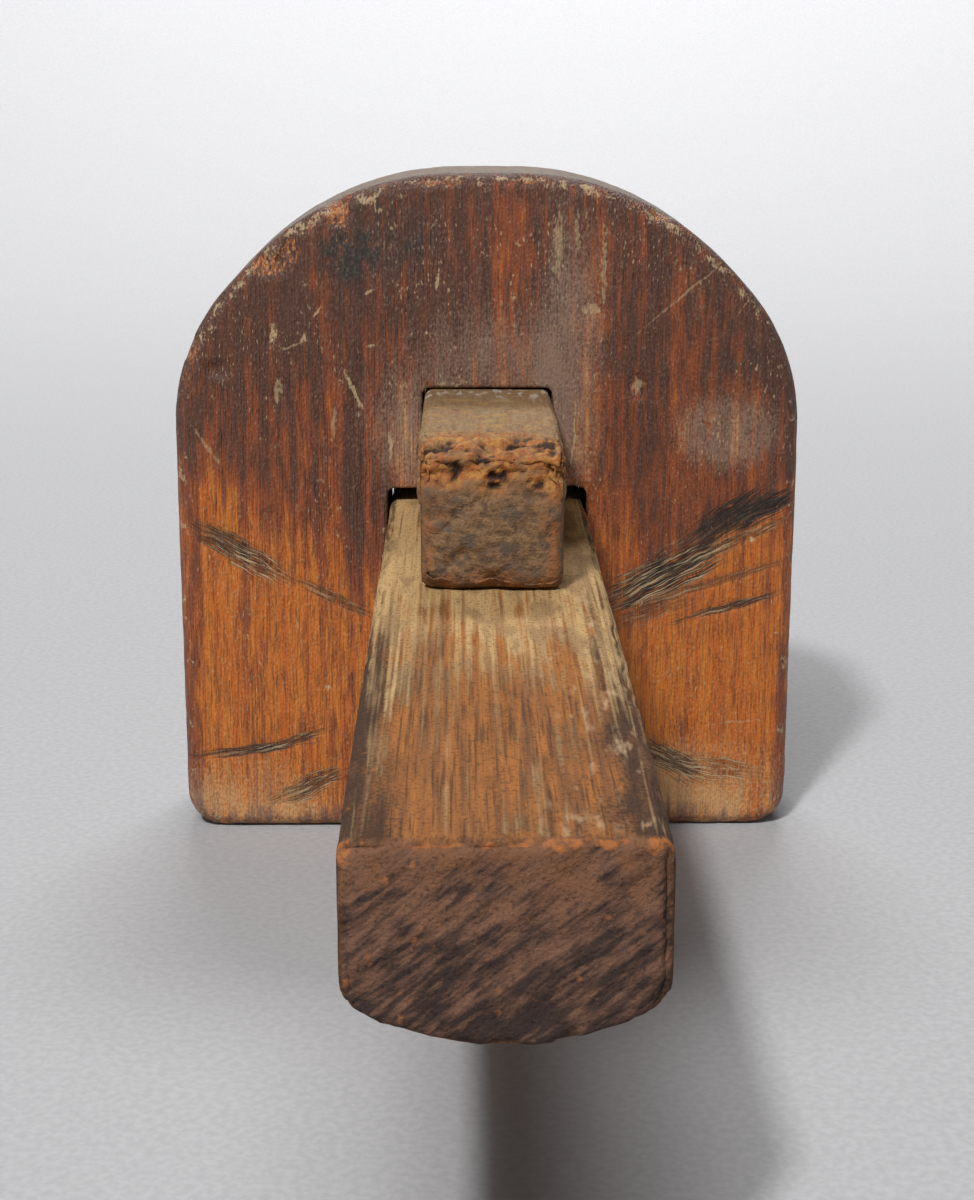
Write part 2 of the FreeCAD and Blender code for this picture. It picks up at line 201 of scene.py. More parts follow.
class Graph:
    """One material's nodes. A value is a number, a colour or another node's output socket."""

    def __init__(self, name, specular=0.4):
        self.material = bpy.data.materials.new(name)
        self.material.use_nodes = True
        self.tree = self.material.node_tree
        self.shader = self.tree.nodes["Principled BSDF"]
        self.shader.inputs["Specular IOR Level"].default_value = specular
        coordinates = self.tree.nodes.new("ShaderNodeTexCoord")
        self.place = self.scaled(coordinates.outputs["Object"], 1 / MM)

    def give(self, socket, value):
        """Link another node's output to the socket, or set the number or colour on it."""
        if isinstance(value, bpy.types.NodeSocket):
            self.tree.links.new(value, socket)
        elif isinstance(value, tuple) and socket.type == "RGBA":
            socket.default_value = (*value, 1.0)
        else:
            socket.default_value = value

    def add(self, kind, **settings):
        node = self.tree.nodes.new(kind)
        for setting, value in settings.items():
            setattr(node, setting, value)
        return node

    def scaled(self, vector, factor):
        node = self.add("ShaderNodeVectorMath", operation="SCALE")
        self.give(node.inputs[0], vector)
        node.inputs["Scale"].default_value = factor
        return node.outputs[0]

    def stretched(self, vector, cell):
        """The vector counted in cells, a length for each axis."""
        node = self.add("ShaderNodeMapping")
        self.give(node.inputs["Vector"], vector)
        node.inputs["Scale"].default_value = tuple(1 / length for length in cell)
        return node.outputs[0]

    def local(self, vector, at, turn, half):
        """The vector seen from an oblong: 1 at its ends and sides, turned about Y."""
        node = self.add("ShaderNodeMapping", vector_type="TEXTURE")
        self.give(node.inputs["Vector"], vector)
        node.inputs["Location"].default_value = at
        node.inputs["Rotation"].default_value = (0, -math.radians(turn), 0)
        node.inputs["Scale"].default_value = half
        return node.outputs[0]

    def noise(self, cell, vector=None, detail=2.0, output="Fac"):
        """Noise that changes over one cell. Its inputs are made first: Cycles works through the
        nodes in the order of their making, and has little room for values that wait."""
        cells = self.stretched(vector or self.place, cell)
        node = self.add("ShaderNodeTexNoise")
        self.give(node.inputs["Vector"], cells)
        node.inputs["Scale"].default_value = 1.0
        node.inputs["Detail"].default_value = detail
        return node.outputs[output]

    def math(self, operation, first, second):
        node = self.add("ShaderNodeMath", operation=operation)
        self.give(node.inputs[0], first)
        self.give(node.inputs[1], second)
        return node.outputs[0]

    def window(self, value, low, high, top=1.0):
        """0 at low, top at high, smooth between; low may be the larger."""
        node = self.add("ShaderNodeMapRange", interpolation_type="SMOOTHSTEP")
        self.give(node.inputs["Value"], value)
        node.inputs["From Min"].default_value = min(low, high)
        node.inputs["From Max"].default_value = max(low, high)
        node.inputs["To Min"].default_value = top if low > high else 0.0
        node.inputs["To Max"].default_value = 0.0 if low > high else top
        return node.outputs["Result"]

    def mix(self, factor, first, second):
        """The first colour where the factor is 0, the second where it is 1."""
        node = self.add("ShaderNodeMix", data_type="RGBA")
        self.give(node.inputs["Factor"], factor)
        self.give(node.inputs[MIX_FIRST_COLOUR], first)
        self.give(node.inputs[MIX_SECOND_COLOUR], second)
        return node.outputs[MIX_COLOUR_OUT]

    def length(self, vector):
        node = self.add("ShaderNodeVectorMath", operation="LENGTH")
        self.give(node.inputs[0], vector)
        return node.outputs["Value"]

    def times(self, *values):
        return functools.reduce(lambda total, value: self.math("MULTIPLY", total, value), values)

    def sum_of(self, *values):
        return functools.reduce(lambda total, value: self.math("ADD", total, value), values)

    def spread(self, value, amount):
        """A noise value, 0 to 1, moved to swing about zero by so much each way."""
        return self.times(self.math("SUBTRACT", value, 0.5), 2 * amount)

    def attribute(self, name):
        """A value that paint() has kept on the mesh."""
        return self.add("ShaderNodeAttribute", attribute_name=name).outputs["Fac"]

    def warped(self, cell, amount):
        """The place moved about by noise, so that what is drawn there has ragged edges."""
        noise = self.noise(cell, output="Color")
        shift = self.add("ShaderNodeVectorMath", operation="SUBTRACT")
        self.give(shift.inputs[0], noise)
        shift.inputs[1].default_value = (0.5, 0.5, 0.5)
        scaled = self.scaled(shift.outputs[0], amount)
        total = self.add("ShaderNodeVectorMath", operation="ADD")
        self.give(total.inputs[0], self.place)
        self.give(total.inputs[1], scaled)
        return total.outputs[0]

    def bump(self, height, distance):
        """A normal from a height of 0 to 1 that stands for so many millimetres."""
        node = self.add("ShaderNodeBump")
        node.inputs["Distance"].default_value = distance * MM
        self.give(node.inputs["Height"], height)
        return node.outputs["Normal"]

    def finish(self, colour, roughness, normal=None):
        """Link the results to the shader."""
        self.give(self.shader.inputs["Base Color"], colour)
        self.give(self.shader.inputs["Roughness"], roughness)
        if normal is not None:
            self.give(self.shader.inputs["Normal"], normal)
        return self.material


# ---------------------------------------------------------------- fence

FENCE_VOXEL = 0.45
ORANGE_WOOD = (0.58, 0.172, 0.020)
DEEP_ORANGE_WOOD = (0.50, 0.120, 0.016)
RED_WOOD = (0.255, 0.063, 0.020)
DARK_PATINA = (0.094, 0.039, 0.025)
BLACK_DIRT = (0.016, 0.012, 0.011)
GREY_DUST = (0.27, 0.170, 0.118)
WARM_DUST = (0.58, 0.340, 0.150)
GREY_FILM = (0.21, 0.185, 0.135)
FRESH_WOOD = (0.50, 0.20, 0.07)
TORN_WOOD = (0.20, 0.070, 0.030)
GRAIN_SHADE = (0.035, 0.017, 0.012)
# Dark of the soot smudges, and of the painted shade on the mortise walls.
SOOT_AND_SHADE = (0.035, 0.030, 0.026)
GROOVE_DIRT = (0.028, 0.019, 0.015)
PALE_FIBRE = (0.50, 0.36, 0.20)
BROKEN_FIBRE = (0.48, 0.345, 0.19)

# Where, how wide and high, and how deep: bruises pressed into the front face.
FENCE_BRUISES = [
    ((-33.8, 61.6), (1.8, 1.0), 0.5),
    ((19.0, 59.2), (1.1, 1.5), 0.5),
    ((-16.6, 58.6), (0.7, 2.2), 0.3),
    ((-27.0, 66.0), (0.5, 1.3), 0.35),
    ((-26.6, 59.0), (0.8, 1.2), 0.25),
    ((13.2, 69.0), (1.5, 1.1), 0.3),
    ((-6.3, 72.8), (0.5, 1.6), 0.25),
    ((31.0, 54.0), (5.0, 4.0), 0.25),
    ((-21.0, 19.7), (0.4, 0.4), 0.3),
]

# Splinters knocked off the arris: where, how wide and high, how deep.
FENCE_CHIPS = [
    ((-18.7, 81.2), (1.5, 1.7), 0.8),
    ((-17.8, 79.0), (0.6, 1.8), 0.3),
    ((-27.2, 74.6), (2.6, 1.3), 0.7),
    ((-24.8, 76.6), (1.3, 1.3), 0.7),
    ((21.9, 80.9), (1.4, 0.9), 0.6),
    ((-37.8, 64.0), (0.9, 1.4), 0.5),
    ((-6.0, 84.9), (3.0, 0.5), 0.4),
    ((5.0, 85.1), (1.6, 0.5), 0.4),
    ((10.6, 47.4), (0.9, 1.6), 0.4),
]

# Marks rubbed across the front face. Each is: place, length, width, tilt in degrees, how dark
# its dirty fibres are and how pale its broken ones.
FENCE_SMEARS = [
    ((-33.6, 39.0), 9.5, 3.4, -30, 0.85, 0.35),
    ((-30.0, 36.4), 9.0, 3.4, -30, 0.55, 0.95),
    ((-20.0, 31.8), 13.0, 1.6, -26, 0.6, 0.5),
    ((23.0, 34.6), 17.0, 5.6, 28, 1.0, 0.9),
    ((31.5, 38.9), 17.0, 1.5, 25, 0.6, 0.9),
    ((30.8, 42.0), 12.0, 4.4, 36, 0.95, 0.1),
    ((35.6, 43.4), 10.0, 3.0, 27, 1.0, 0.15),
    ((28.0, 33.2), 25.0, 1.2, 17, 0.55, 0.5),
    ((31.5, 30.4), 14.0, 1.2, 16, 0.9, 0.6),
    ((21.0, 29.6), 11.0, 2.6, 18, 0.5, 0.3),
    ((-32.0, 10.9), 15.0, 1.5, 8, 0.9, 0.4),
    ((-26.5, 12.0), 12.0, 1.4, 18, 0.7, 0.7),
    ((-23.4, 6.0), 10.0, 3.0, 24, 0.8, 0.8),
    ((24.4, 9.4), 10.0, 3.6, -30, 0.85, 0.9),
    ((30.0, 8.2), 13.0, 3.6, -10, 0.35, 0.9),
]

# Scratches down to pale wood: place, length, width, tilt in degrees, strength.
FENCE_SCRATCHES = [
    ((8.9, 77.4), 9.0, 1.2, 86, 0.45),
    ((11.2, 78.5), 6.0, 0.6, 88, 0.35),
    ((14.7, 74.0), 11.0, 0.7, 90, 0.5),
    ((13.2, 69.2), 2.8, 1.4, -10, 0.6),
    ((-17.0, 59.2), 5.6, 0.6, -66, 0.8),
    ((-27.0, 66.0), 2.4, 0.7, 88, 0.9),
    ((-23.2, 65.6), 1.4, 0.5, 60, 0.7),
    ((-26.6, 59.0), 3.0, 0.9, 80, 0.5),
    ((-19.4, 54.5), 4.2, 0.7, 84, 0.5),
    ((-6.2, 72.6), 3.6, 0.4, 86, 0.8),
    ((-14.5, 64.6), 1.7, 0.5, 10, 0.7),
    ((-21.4, 68.8), 1.4, 0.4, 60, 0.7),
    ((-15.0, 71.3), 1.5, 0.4, 25, 0.7),
    ((11.1, 53.4), 10.0, 0.35, 88, 0.6),
    ((-12.2, 52.0), 4.0, 0.7, 86, 0.7),
    ((24.5, 70.8), 13.0, 0.3, 40, 0.4),
    ((-24.6, 64.6), 3.4, 0.35, 24, 0.5),
    ((33.5, 71.0), 9.0, 0.3, 52, 0.3),
    ((-36.0, 52.0), 6.0, 0.5, -58, 0.4),
    ((19.1, 59.4), 2.0, 1.6, 70, 0.6),
    ((34.3, 39.2), 0.7, 0.7, 0, 1.0),
    ((-21.0, 19.7), 0.8, 0.8, 0, 1.0),
    ((33.0, 14.6), 8.0, 0.3, 4, 0.4),
]
MARK_DEPTH = 3.0
REAR_SCRATCHES = 16

# The circle that comes nearest to the fence's arch.
ARCH_CENTRE = 46.0
ARCH_RADIUS = 40.5


def on_front(points):
    """1 on the fence's front face and arris, 0 behind."""
    return ramp(points[:, 1], FRONT_FACE + 4, FRONT_FACE + 2)


def outline_inset(points):
    """A rough distance inwards from the fence's outline, taken as an arch on two straight sides."""
    above = np.maximum(points[:, 2] - ARCH_CENTRE, 0)
    round_reach = ARCH_RADIUS - np.hypot(points[:, 0], above)
    side_reach = FENCE_HIGH[0] - np.abs(points[:, 0])
    return np.minimum(np.where(above > 0, round_reach, side_reach), points[:, 2])


def smear_cover(points):
    """How much of each smear covers a point of the front face."""
    cover = np.zeros(len(points))
    for at, length, width, tilt, _, _ in FENCE_SMEARS:
        angle = math.radians(tilt)
        across, up = points[:, 0] - at[0], points[:, 2] - at[1]
        along = (across * math.cos(angle) + up * math.sin(angle)) / (length / 2)
        aside = (up * math.cos(angle) - across * math.sin(angle)) / (width / 2)
        cover = np.maximum(cover, ramp(np.hypot(along, aside), 1.1, 0.4))
    return cover


def make_fence():
    """The arched board, with a chipped arris, bruises and rubbed marks in its front face."""
    piece = even_copy("fence", FENCE_VOXEL)
    points = vertex_array(piece.data) / MM
    edge = edge_strength(piece, 2.2, FENCE_VOXEL)
    front = on_front(points)
    depth = 0.06 + 0.06 * noise(points, 16, seed=1)
    depth += 0.05 * rough_noise(points, (1.5, 1.5, 12), seed=3)
    nibbles = ramp(rough_noise(points, 2.6, seed=2), -0.1, 0.7)
    depth += 0.5 * ramp(edge, 0.15, 0.8) * nibbles
    chips = sum(spot(points, at, radii) * amount for at, radii, amount in FENCE_CHIPS)
    bruises = sum(spot(points, at, radii) * amount for at, radii, amount in FENCE_BRUISES)
    crumble = 0.7 + 0.5 * rough_noise(points, 0.9, seed=5)
    depth += front * (chips + bruises) * crumble
    depth += front * smear_cover(points) * (0.16 + 0.12 * rough_noise(points, 0.9, seed=7))
    wear(piece, "fence", depth)
    back_from_front = points[:, 1] - FRONT_FACE
    lip = ramp(edge, 0.15, 0.45) * ramp(back_from_front, 1.3, 0.6)
    paint(piece, "age", fence_age(points))
    paint(piece, "dust", fence_dust(points))
    # Soot smudges by the arch, and painted shade on the mortise walls.
    paint(piece, "soot_and_shade", fence_soot_and_shade(points))
    paint(piece, "film", ramp(points[:, 2], 58, 82) * ramp(back_from_front, 1.4, 2.6))
    paint(piece, "lip", lip * (0.55 + 0.45 * ramp(points[:, 2], 60, 80)))
    paint(piece, "groove", ramp(edge, 0.2, 0.6) * ramp(back_from_front, 1.2, 1.9)
          * ramp(back_from_front, 3.6, 2.6))
    paint(piece, "bare", front * np.clip(chips * 2.2, 0, 1))
    hand_over(piece, "fence", fence_material())


def fence_age(points):
    """0 where the wood is bright orange, 1 under the darkest patina."""
    x, z = points[:, 0], points[:, 2]
    sway = 3 * noise(points, (5, 5, 30), seed=11) + 3 * noise(points, (1.6, 1.6, 18), seed=12)
    # Below these two slanting lines, hands and work have rubbed the patina off.
    rub_left = 29 + 0.55 * (-x - 13)
    rub_right = 31 + 0.62 * (x - 16)
    left = ramp(z + 1.6 * sway, rub_left - 2, rub_left + 15)
    right = ramp(z + 0.4 * sway, rub_right - 1.5, rub_right + 2.5)
    age = np.where(x < 0, 0.80 * left, 0.62 * right)
    age += 0.22 * spot(points, (-16, 40), (5, 9))
    age -= 0.42 * spot(points, (17, 38), (3.5, 6.5))
    age += 0.22 * ramp(z, 52, 66)
    age += 0.42 * ramp(outline_inset(points) + 0.8 * sway / 3, 3.6, 1.2)
    age += 0.20 * noise(points, (2.8, 2.8, 45), seed=13)
    light_streaks = 0.30 * spot(points, (-23.4, 55), (1.0, 8))
    light_streaks += 0.22 * spot(points, (-4.0, 80), (3.5, 3.5))
    age -= light_streaks
    age += 0.45 * ramp(points[:, 1], FRONT_FACE + 1, FRONT_FACE + 4)
    return age


def fence_dust(points):
    """How thick the dust lies: by the slot, in an upright band, on the crown and at the foot."""
    front = on_front(points)
    round_slot = spot(points, (0, 54), (13.5, 14), 0.35) * 0.75
    band = front * spot(points, (10.5, 66), (4.0, 13), 0.6) * 0.6
    patch = front * spot(points, (30.5, 53.5), (6, 4.5), 0.5) * 0.75
    foot = front * spot(points, (29, 7), (10, 5), 0.5) * 0.6
    low_corner = front * spot(points, (-32, 5), (9, 5), 0.5) * 0.4
    low_corner += ramp(points[:, 2], 8, 2) * 0.50
    crown = ramp(points[:, 2], 80, 85) * ramp(points[:, 1], FRONT_FACE + 2, FRONT_FACE + 4) * 0.8
    cloud = 0.75 + 0.6 * rough_noise(points, (4, 4, 9), seed=21)
    return 0.12 + (round_slot + band + patch + foot + low_corner + crown) * cloud


def fence_soot_and_shade(points):
    """Dark smudges by the arch, and painted shade on the unlit walls of the mortise."""
    smudge = spot(points, (-13.5, 78.0), (6.5, 4.0), 0.55) * 0.9
    smudge += spot(points, (-18.0, 75.5), (3.5, 3.0), 0.55) * 0.8
    smudge += spot(points, (32.0, 62.7), (3.0, 2.0), 0.5) * 0.6
    cloud = 0.8 + 0.6 * rough_noise(points, (2.5, 2.5, 4), seed=31)
    # Painted shade: the walls inside the mortise and slot are painted dark.
    shaded_inner_wall = (np.abs(points[:, 1]) < REAR_FACE - 0.6) & (outline_inset(points) > 6)
    return smudge * cloud + 1.4 * shaded_inner_wall


def mark_place(g, place, face, at, length, width, tilt):
    """A place on a face seen from a mark: 1 at the mark's ends and at its sides."""
    half = (length / 2, MARK_DEPTH, width / 2)
    return g.local(place, (at[0], face, at[1]), tilt, half)


def draw_smears(g, colour, place):
    """Dirt and broken fibres dragged along each smear in fine strands that fray at its ends."""
    for at, length, width, tilt, dark, pale in FENCE_SMEARS:
        local = mark_place(g, place, FRONT_FACE, at, length, width, tilt)
        strand = min(0.3, 0.42 / width)
        strands = g.noise((0.9, 9.0, strand), local, 4.0)
        reach = g.sum_of(g.length(local), g.spread(strands, 1.2))
        inside = g.window(reach, 1.2, 0.6)
        tone = g.noise((0.7, 9.0, strand * 0.8), local, 3.0)
        dirty = g.times(inside, g.window(tone, 0.32, 0.45, dark))
        broken = g.times(inside, g.window(tone, 0.51, 0.60, pale))
        colour = g.mix(dirty, colour, BLACK_DIRT)
        colour = g.mix(broken, colour, BROKEN_FIBRE)
    return colour


def rear_scratches():
    """Scratches of the unseen rear face: as many and as long as a hand-worn board would have."""
    draw = np.random.default_rng(81)
    marks = []
    for _ in range(REAR_SCRATCHES):
        at = (draw.uniform(-33, 33), draw.uniform(8, 72))
        width = draw.uniform(0.3, 0.7)
        length = draw.uniform(3, 11)
        tilt = draw.uniform(-80, 80)
        strength = draw.uniform(0.3, 0.7)
        marks.append((at, length, width, tilt, strength))
    return marks


def draw_scratches(g, colour, place, ragged):
    """Pale wood along each scratch of the front and the rear face, with ragged ends."""
    faces = ((FRONT_FACE, FENCE_SCRATCHES), (REAR_FACE, rear_scratches()))
    for face, marks in faces:
        for at, length, width, tilt, strength in marks:
            local = mark_place(g, place, face, at, length, width, tilt)
            reach = g.sum_of(g.length(local), ragged)
            colour = g.mix(g.window(reach, 1.15, 0.45, strength), colour, PALE_FIBRE)
    return colour


def fence_material():
    """Orange wood under patina, then pores, soot smudges and painted shade in the mortise, dust,
    marks, dirt by the arris and bare chips.
    """
    g = Graph("fence_wood")
    fine = g.noise((0.22, 0.22, 6.0), detail=3.0)
    bands = g.noise((1.5, 1.5, 45.0), detail=2.0)
    mottle = g.noise((1.3, 1.3, 2.2), detail=4.0)
    speckle = g.noise((0.3, 0.3, 0.5), detail=2.0)
    figure = g.noise((1.0, 1.0, 5.5), detail=4.0)
    age = g.sum_of(g.attribute("age"), g.spread(fine, 0.60), g.spread(bands, 0.75),
                   g.spread(figure, 0.75))
    tint = g.noise((1.0, 1.0, 30.0), detail=2.0)
    orange = g.mix(g.window(tint, 0.40, 0.62), DEEP_ORANGE_WOOD, ORANGE_WOOD)
    colour = g.mix(g.window(age, -0.1, 0.5), orange, RED_WOOD)
    colour = g.mix(g.window(age, 0.45, 1.05), colour, DARK_PATINA)
    dashes = g.noise((0.22, 0.22, 3.2), detail=4.0)
    shade = g.window(dashes, 0.46, 0.66, 0.50)
    colour = g.mix(shade, colour, GRAIN_SHADE)
    colour = draw_pores(g, colour)
    # Soot smudges, and painted shade on the mortise and slot walls.
    soot_and_shade = g.times(g.attribute("soot_and_shade"), g.window(mottle, 0.25, 0.6))
    colour = g.mix(soot_and_shade, colour, SOOT_AND_SHADE)
    dust = g.sum_of(g.attribute("dust"), g.spread(speckle, 0.7), g.spread(fine, 0.4))
    dust_colour = g.mix(g.window(age, 0.0, 0.7), WARM_DUST, GREY_DUST)
    colour = g.mix(g.window(dust, 0.05, 1.0, 0.85), colour, dust_colour)
    film = g.times(g.attribute("film"), g.window(mottle, 0.25, 0.6, 0.65))
    colour = g.mix(film, colour, GREY_FILM)
    colour = draw_flecks(g, colour)
    ragged = g.spread(g.noise((0.4, 0.4, 0.9), detail=3.0), 1.6)
    place = g.warped((3.0, 3.0, 3.0), 0.8)
    colour = draw_smears(g, colour, place)
    colour = draw_scratches(g, colour, place, ragged)
    colour = g.mix(g.times(g.attribute("groove"), 0.75), colour, GROOVE_DIRT)
    lip = g.sum_of(g.attribute("lip"), g.spread(g.noise((1.6, 1.6, 1.6), detail=5.0), 2.4),
                   g.spread(speckle, 1.2))
    colour = g.mix(g.window(lip, 0.95, 1.7, 0.75), colour, PALE_FIBRE)
    bare = g.window(g.sum_of(g.attribute("bare"), ragged, g.spread(mottle, 0.6)), 0.65, 1.15)
    fresh = g.mix(g.window(speckle, 0.38, 0.62), FRESH_WOOD, TORN_WOOD)
    colour = g.mix(bare, colour, fresh)
    relief = g.sum_of(g.times(fine, 0.6), g.times(speckle, 0.5), g.times(mottle, 0.5))
    normal = g.bump(relief, 0.40)
    roughness = g.sum_of(0.24, g.times(speckle, 0.3), g.times(g.attribute("dust"), 0.35))
    return g.finish(colour, roughness, normal)


def draw_pores(g, colour):
    """Short dark dashes along the grain, thick in some places and missing in others."""
    pores = g.noise((0.16, 0.16, 2.2), detail=1.0)
    where = g.noise((4.0, 4.0, 9.0), detail=1.0)
    open_pores = g.times(g.window(pores, 0.63, 0.71), g.window(where, 0.42, 0.62))
    return g.mix(g.times(open_pores, 0.75), colour, BLACK_DIRT)


def draw_flecks(g, colour):
    """Small nicks that show pale wood, most of them higher than they are wide."""
    flecks = g.noise((0.30, 0.30, 0.9), detail=1.0)
    where = g.noise((7.0, 7.0, 10.0), detail=2.0)
    nicks = g.times(g.window(flecks, 0.65, 0.73), g.window(where, 0.41, 0.61))
    return g.mix(g.times(nicks, 0.65), colour, PALE_FIBRE)


# ---------------------------------------------------------------- beam

BEAM_VOXEL = 0.45
BEAM_BROWN = (0.21, 0.086, 0.032)
BEAM_ORANGE = (0.37, 0.138, 0.034)
BEAM_KHAKI = (0.53, 0.345, 0.155)
BEAM_OLD_KHAKI = (0.36, 0.225, 0.105)
BEAM_DARK = (0.052, 0.028, 0.018)
BEAM_RIM = (0.44, 0.155, 0.045)
BEAM_CREAM = (0.50, 0.35, 0.20)
END_DARK = (0.045, 0.029, 0.025)
END_BROWN = (0.190, 0.096, 0.060)
END_STRIPE_TILT = 38


def make_beam():
    """The long bar, with worn arrises and ridged end grain at both ends."""
    piece = even_copy("beam", BEAM_VOXEL)
    points = vertex_array(piece.data) / MM
    edge = edge_strength(piece, 1.6, BEAM_VOXEL)
    end = ramp(points[:, 1], BEAM_LOW[1] + 1.3, BEAM_LOW[1] + 0.4)
    end += ramp(points[:, 1], BEAM_HIGH[1] - 1.3, BEAM_HIGH[1] - 0.4)
    top = ramp(points[:, 2], BEAM_TOP - 1.0, BEAM_TOP - 0.4)
    depth = 0.08 + 0.08 * noise(points, (9, 25, 9), seed=41)
    depth += top * 0.10 * rough_noise(points, (1.4, 14, 1.4), seed=43)
    nibbles = ramp(rough_noise(points, (2.0, 4, 2.0), seed=42), -0.3, 0.6)
    hollows = ramp(rough_noise(points, (5, 8, 5), seed=48), 0.1, 0.6)
    depth += 0.75 * ramp(edge, 0.1, 0.8) * nibbles
    depth += 0.45 * ramp(edge, 0.05, 0.5) * hollows
    depth += end * (0.25 + 0.22 * end_ridges(points) + 0.15 * rough_noise(points, 1.3, seed=45))
    wear(piece, "beam", depth)
    side = ramp(np.abs(points[:, 0]) + 2.2 * noise(points, (3, 9, 3), seed=47), 7.5, 11.5)
    from_fence = np.abs(points[:, 1]) - REAR_FACE
    paint(piece, "end", end)
    paint(piece, "arris", ramp(edge, 0.08, 0.45) * ramp(from_fence, 70, 10))
    # Painted light: 0 at the beam's foot and 1 at its top, so that the sawn ends are painted
    # lighter towards their top.
    paint(piece, "high", ramp(points[:, 2], BEAM_LOW[2] + 1, BEAM_TOP))
    paint(piece, "side", side)
    paint(piece, "rim", ramp(edge, 0.1, 0.5) * ramp(points[:, 1], BEAM_END + 3.0, BEAM_END + 1.2)
          * ramp(points[:, 2], BEAM_TOP - 2.4, BEAM_TOP - 1.2))
    paint(piece, "dust", ramp(from_fence + 14 * noise(points, (3, 20, 9), seed=46), 108, 36))
    paint(piece, "cream", ramp(points[:, 0], 0, 7) * top)
    hand_over(piece, "beam", beam_material())


def end_ridges(points):
    """Ridges of hard wood that cross the sawn end at a slant."""
    angle = math.radians(END_STRIPE_TILT)
    along = points[:, 0] * math.cos(angle) + points[:, 2] * math.sin(angle)
    across = points[:, 2] * math.cos(angle) - points[:, 0] * math.sin(angle)
    slanted = np.stack([along, np.zeros(len(points)), across], axis=1)
    return rough_noise(slanted, (5.0, 1.0, 1.3), seed=44)


def beam_material():
    """Brown and orange streaks, dark along the sides, with khaki dust towards the fence."""
    g = Graph("beam_wood", specular=0.12)
    streaks = g.noise((1.1, 24.0, 1.1), detail=4.0)
    fine = g.noise((0.28, 14.0, 0.28), detail=3.0)
    khaki = g.noise((0.6, 45.0, 0.6), detail=2.0)
    blotch = g.noise((2.4, 9.0, 2.4), detail=4.0)
    speckle = g.noise((0.35, 0.45, 0.35), detail=2.0)
    colour = g.mix(g.window(streaks, 0.38, 0.62), BEAM_BROWN, BEAM_ORANGE)
    dark = g.sum_of(g.times(g.attribute("side"), 0.20), g.times(blotch, 0.50),
                    g.times(streaks, 0.50))
    colour = g.mix(g.window(dark, 0.48, 0.74, 0.95), colour, BEAM_DARK)
    colour = g.mix(g.window(fine, 0.50, 0.66, 0.65), colour, BEAM_DARK)
    grime = g.times(g.attribute("side"), g.window(speckle, 0.46, 0.60, 0.7))
    colour = g.mix(grime, colour, BEAM_DARK)
    dust = g.sum_of(g.attribute("dust"), g.spread(khaki, 1.1), g.spread(fine, 0.4),
                    g.spread(blotch, 0.8))
    khaki_colour = g.mix(g.window(blotch, 0.46, 0.62), BEAM_KHAKI, BEAM_OLD_KHAKI)
    colour = g.mix(g.window(dust, 0.15, 1.0, 0.92), colour, khaki_colour)
    colour = g.mix(g.window(speckle, 0.50, 0.70, 0.50), colour, BEAM_DARK)
    arris = g.sum_of(g.attribute("arris"), g.spread(g.noise((0.8, 5.0, 0.8), detail=3.0), 1.2))
    colour = g.mix(g.window(arris, 0.55, 1.2, 0.75), colour, BEAM_DARK)
    spots = g.sum_of(g.noise((1.3, 4.5, 1.3), detail=3.0), g.spread(fine, 0.10))
    cream = g.times(g.attribute("cream"), g.window(spots, 0.56, 0.80, 0.8))
    colour = g.mix(cream, colour, BEAM_CREAM)
    # The sawn ends, with painted light that makes them lighter towards their top.
    colour = g.mix(g.attribute("end"), colour, beam_end_colour(g, speckle))
    rim = g.sum_of(g.attribute("rim"), g.spread(g.noise((1.2, 1.2, 1.2), detail=3.0), 2.2))
    colour = g.mix(g.window(rim, 0.55, 1.5, 0.75), colour, BEAM_RIM)
    relief = g.sum_of(g.times(fine, 0.6), g.times(speckle, 0.25), g.times(blotch, 0.4))
    roughness = g.sum_of(g.times(speckle, 0.25), 0.68)
    return g.finish(colour, roughness, g.bump(relief, 0.28))


def beam_end_colour(g, speckle):
    """Dark end grain in slanting stripes, with painted light that makes it browner and lighter
    towards the top.
    """
    slant = g.local(g.place, (0, 0, 0), END_STRIPE_TILT, (1, 1, 1))
    stripes = g.noise((2.8, 9.0, 0.50), slant, 4.0)
    patches = g.noise((3.0, 3.0, 2.2), detail=3.0)
    # The high attribute adds painted light: the end grain is lighter towards the top.
    light = g.sum_of(g.times(stripes, 0.6), g.times(patches, 0.4),
                     g.times(g.attribute("high"), 0.14))
    colour = g.mix(g.window(light, 0.45, 0.70), END_DARK, END_BROWN)
    # Painted light: brown patches towards the top of the end.
    high = g.times(g.window(g.attribute("high"), 0.55, 1.0), g.window(patches, 0.35, 0.7))
    colour = g.mix(g.times(high, 0.55), colour, BEAM_BROWN)
    return g.mix(g.window(speckle, 0.52, 0.74, 0.45), colour, BLACK_DIRT)


# ---------------------------------------------------------------- locking wedge

WEDGE_VOXEL = 0.26
WEDGE_BROWN = (0.26, 0.145, 0.068)
WEDGE_DARK = (0.120, 0.070, 0.041)
WEDGE_OCHRE = (0.42, 0.235, 0.075)
WEDGE_ORANGE = (0.36, 0.115, 0.030)
WEDGE_GREY = (0.50, 0.44, 0.36)
WEDGE_PIT = (0.030, 0.012, 0.008)
WEDGE_SIDE = (0.30, 0.20, 0.10)
WEDGE_END_LIGHT = (0.255, 0.150, 0.072)
WEDGE_END_GREY = (0.098, 0.078, 0.060)
WEDGE_RUST = (0.30, 0.115, 0.040)
WEDGE_OLD_RUST = (0.19, 0.095, 0.048)
WEDGE_AMBER = (0.46, 0.215, 0.050)
BUTT_ROUNDING = 2.6


def rounding_depth(points, low, high, radius):
    """How far a box's corners have to go in to be rounded off by the radius."""
    inner = np.clip(points, low + radius, high - radius)
    return np.maximum(np.linalg.norm(points - inner, axis=1) - radius, 0)


